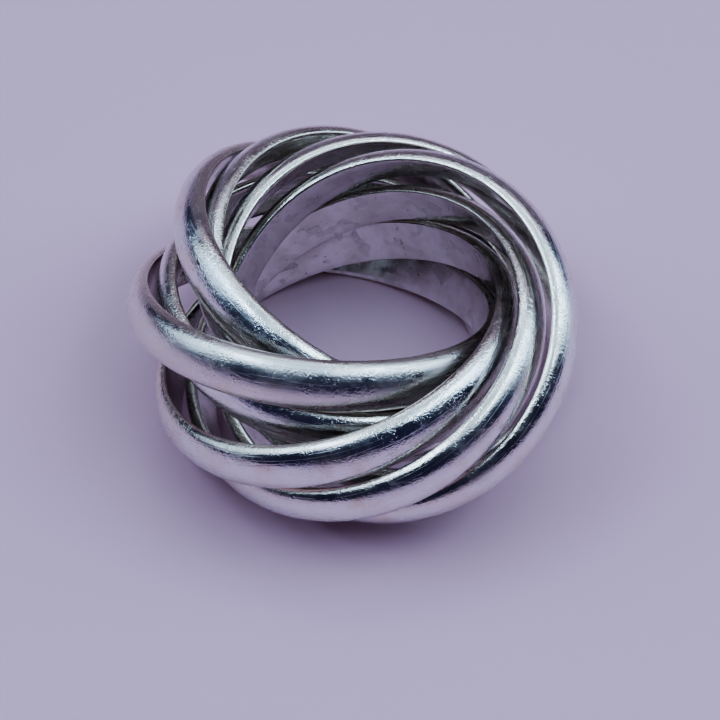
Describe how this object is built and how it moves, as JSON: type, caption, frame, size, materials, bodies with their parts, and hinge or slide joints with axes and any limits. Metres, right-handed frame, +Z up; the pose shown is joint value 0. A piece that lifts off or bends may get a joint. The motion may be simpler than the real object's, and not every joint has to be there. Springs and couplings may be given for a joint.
{
  "type": "linked ring bundle",
  "caption": "Loose bundle of plain polished half-round rings, each linked through all the others, that roll through one another round a finger hole.",
  "frame": {"origin": "middle of the bundle's box, on the surface that it lies on", "axes": "+Z up through the finger hole, -Y towards the viewer of the usual view, +X to that viewer's right"},
  "size_m": [0.0296, 0.0302, 0.0156],
  "materials": {
    "silver": "polished silver, worn: fine scratches, small dents and satin patches"
  },
  "bodies": {
    "ring_5": {"ring_5": "silver"},
    "ring_1": {"ring_1": "silver"},
    "ring_2": {"ring_2": "silver"},
    "ring_3": {"ring_3": "silver"},
    "ring_4": {"ring_4": "silver"},
    "ring_6": {"ring_6": "silver"},
    "ring_7": {"ring_7": "silver"},
    "ring_8": {"ring_8": "silver"}
  },
  "joints": [
    {"name": "ring_1_turn", "type": "hinge", "parent": "ring_5", "child": "ring_1", "pos_m": [0.00256, 0.0013, 0.00629], "axis": [0.2034, -0.3522, 0.9135], "continuous": true},
    {"name": "ring_2_turn", "type": "hinge", "parent": "ring_5", "child": "ring_2", "pos_m": [0.00086, 0.0026, 0.00669], "axis": [0.4303, -0.0836, 0.8988], "continuous": true},
    {"name": "ring_3_turn", "type": "hinge", "parent": "ring_5", "child": "ring_3", "pos_m": [-0.00064, 0.0027, 0.00739], "axis": [0.4522, 0.2304, 0.8616], "continuous": true},
    {"name": "ring_4_turn", "type": "hinge", "parent": "ring_5", "child": "ring_4", "pos_m": [-0.00054, 0.0006, 0.00739], "axis": [0.1039, 0.1283, 0.9863], "continuous": true},
    {"name": "ring_6_turn", "type": "hinge", "parent": "ring_5", "child": "ring_6", "pos_m": [-0.00094, -0.0021, 0.00629], "axis": [-0.3306, 0.223, 0.9171], "continuous": true},
    {"name": "ring_7_turn", "type": "hinge", "parent": "ring_5", "child": "ring_7", "pos_m": [0.00076, -0.0026, 0.00699], "axis": [-0.4071, -0.0791, 0.91], "continuous": true},
    {"name": "ring_8_turn", "type": "hinge", "parent": "ring_5", "child": "ring_8", "pos_m": [0.00256, -0.0021, 0.00799], "axis": [-0.3546, -0.3938, 0.848], "continuous": true}
  ]
}
